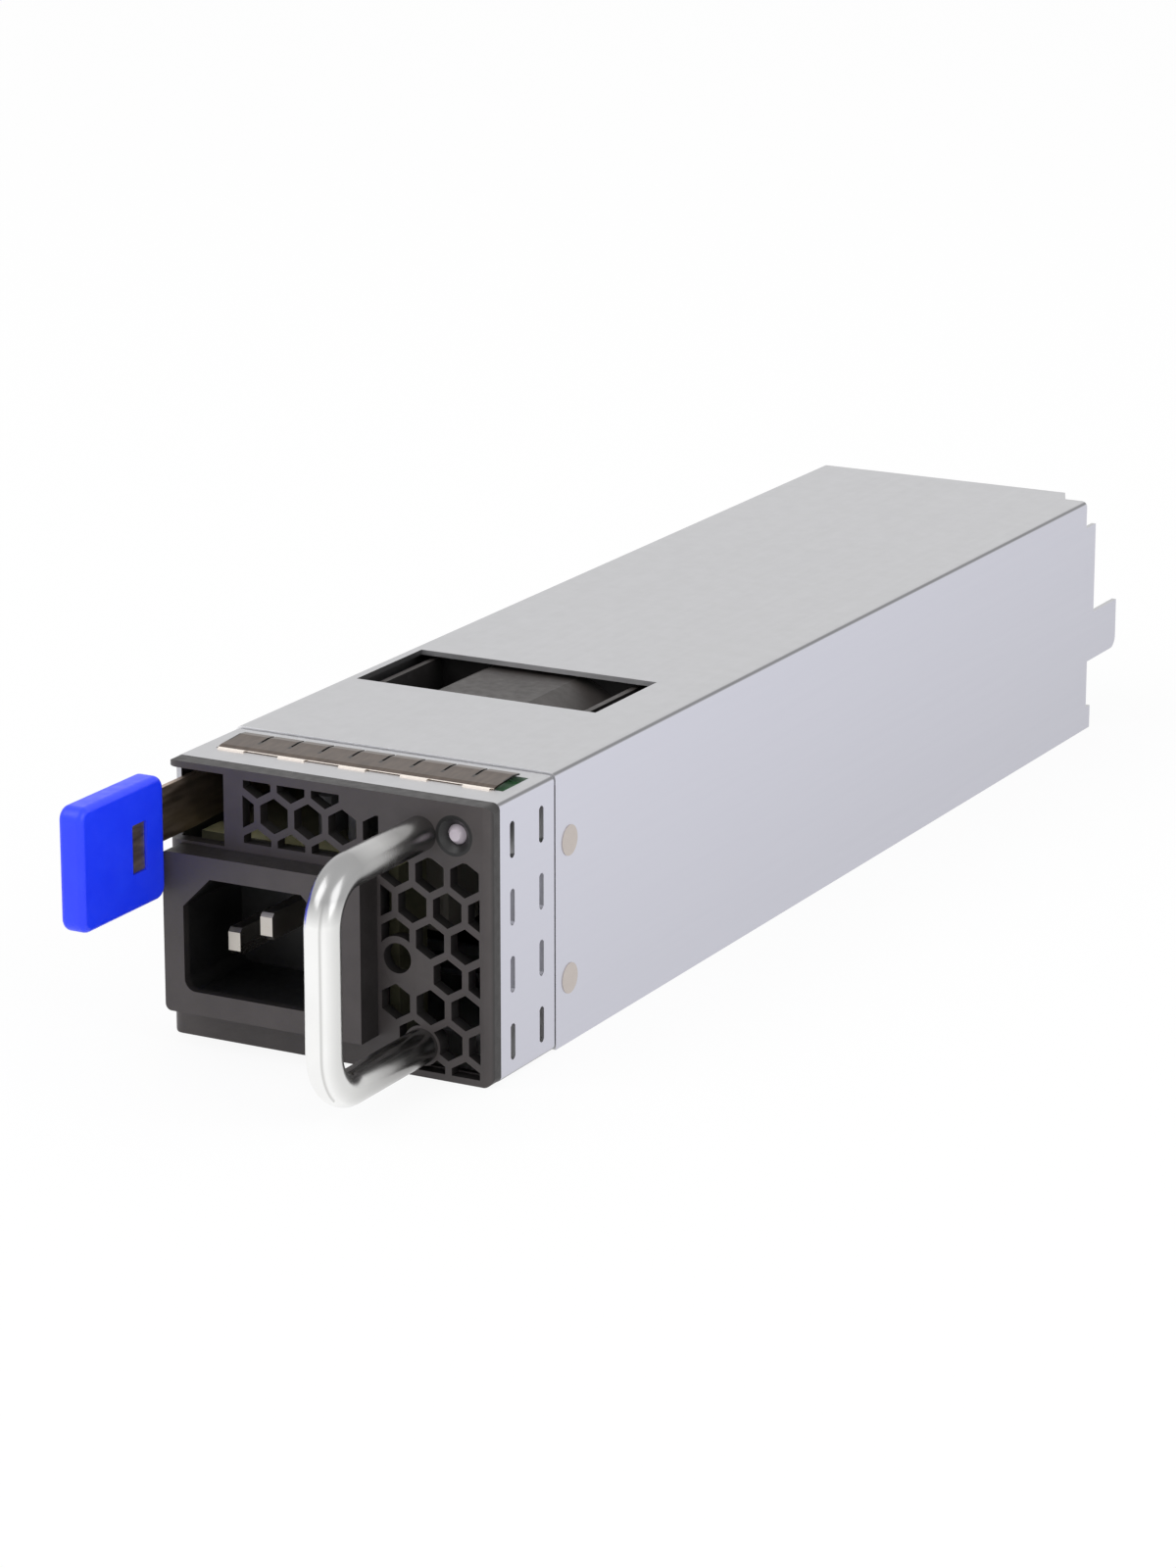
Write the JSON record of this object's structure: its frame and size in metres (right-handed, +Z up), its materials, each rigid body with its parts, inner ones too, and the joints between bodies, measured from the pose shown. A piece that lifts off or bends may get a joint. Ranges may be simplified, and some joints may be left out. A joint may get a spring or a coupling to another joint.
{
  "type": "hot-swap power supply module",
  "caption": "Slim hot-swap AC power supply module: sheet-metal case, dark honeycomb front with mains inlet, bent bar handle, blue release lever and a card-edge tongue at the rear.",
  "frame": {"origin": "on the base plane, at mid-width, 0.8 mm behind the front edge of the sheet-metal ring", "axes": "+X to the right seen from the front, +Y towards the rear, +Z up"},
  "size_m": [0.0557, 0.2573, 0.0423],
  "materials": {
    "zinc_sheet": "satin",
    "rivet": "satin",
    "finger_bronze": "satin",
    "bezel_plastic": "satin",
    "inlet_plastic": "satin",
    "pin_plating": "polished",
    "polished_steel": "polished",
    "lens": "gloss",
    "board_green": "satin",
    "board_olive": "satin",
    "lever_steel": "satin",
    "grip_blue": "satin",
    "fan_plastic": "satin",
    "copper": "satin",
    "ferrite": "matte",
    "film_box": "satin",
    "dipped": "satin",
    "component_black": "satin",
    "nylon": "satin",
    "gold_plating": "polished",
    "film": "satin",
    "heat_sink": "satin"
  },
  "bodies": {
    "chassis": {"base_tray": "zinc_sheet", "top_cover": "zinc_sheet", "front_frame": "zinc_sheet", "rear_panel": "zinc_sheet", "fan_cradle": "zinc_sheet", "latch_bracket": "zinc_sheet", "cover_rivets": "rivet", "emi_gasket": "finger_bronze", "bezel": "bezel_plastic", "inlet_body": "inlet_plastic", "led_holder": "inlet_plastic", "inlet_line_pins": "pin_plating", "inlet_earth_pin": "pin_plating", "handle": "polished_steel", "latch_pin": "polished_steel", "led_lens": "lens", "led_board": "board_green", "main_board": "board_green", "control_board": "board_green", "filter_board": "board_olive", "inlet_board": "board_olive", "latch_spring": "lever_steel", "fan_frame": "fan_plastic", "fan_stator": "copper", "transformer_winding": "copper", "emi_choke": "ferrite", "pfc_choke": "ferrite", "transformer_core": "ferrite", "output_inductor": "ferrite", "x_capacitor": "film_box", "y_capacitors": "dipped", "fuse": "component_black", "inlet_wires": "component_black", "power_transistors": "component_black", "bridge_rectifier": "component_black", "output_capacitors": "component_black", "bulk_capacitor": "component_black", "board_supports": "nylon", "fan_connector": "nylon", "card_edge_contacts": "gold_plating", "insulator_sheet": "film", "pfc_heat_sink": "heat_sink", "output_heat_sink": "heat_sink"},
    "latch": {"latch_arm": "lever_steel", "latch_grip": "grip_blue"},
    "fan_impeller": {"fan_rotor": "fan_plastic", "fan_shaft": "polished_steel"}
  },
  "joints": [
    {"name": "latch_pivot", "type": "hinge", "parent": "chassis", "child": "latch", "pos_m": [-0.0233, 0.037, 0.0346], "axis": [0, 0, 1], "range_deg": [0, 5], "stiffness_Nm_per_rad": 0.6, "springref_deg": -8.59, "deforming": ["latch_spring"]},
    {"name": "fan_spin", "type": "hinge", "parent": "chassis", "child": "fan_impeller", "pos_m": [-0.0053, 0.0584, 0.0208], "axis": [0, 1, 0], "continuous": true}
  ]
}
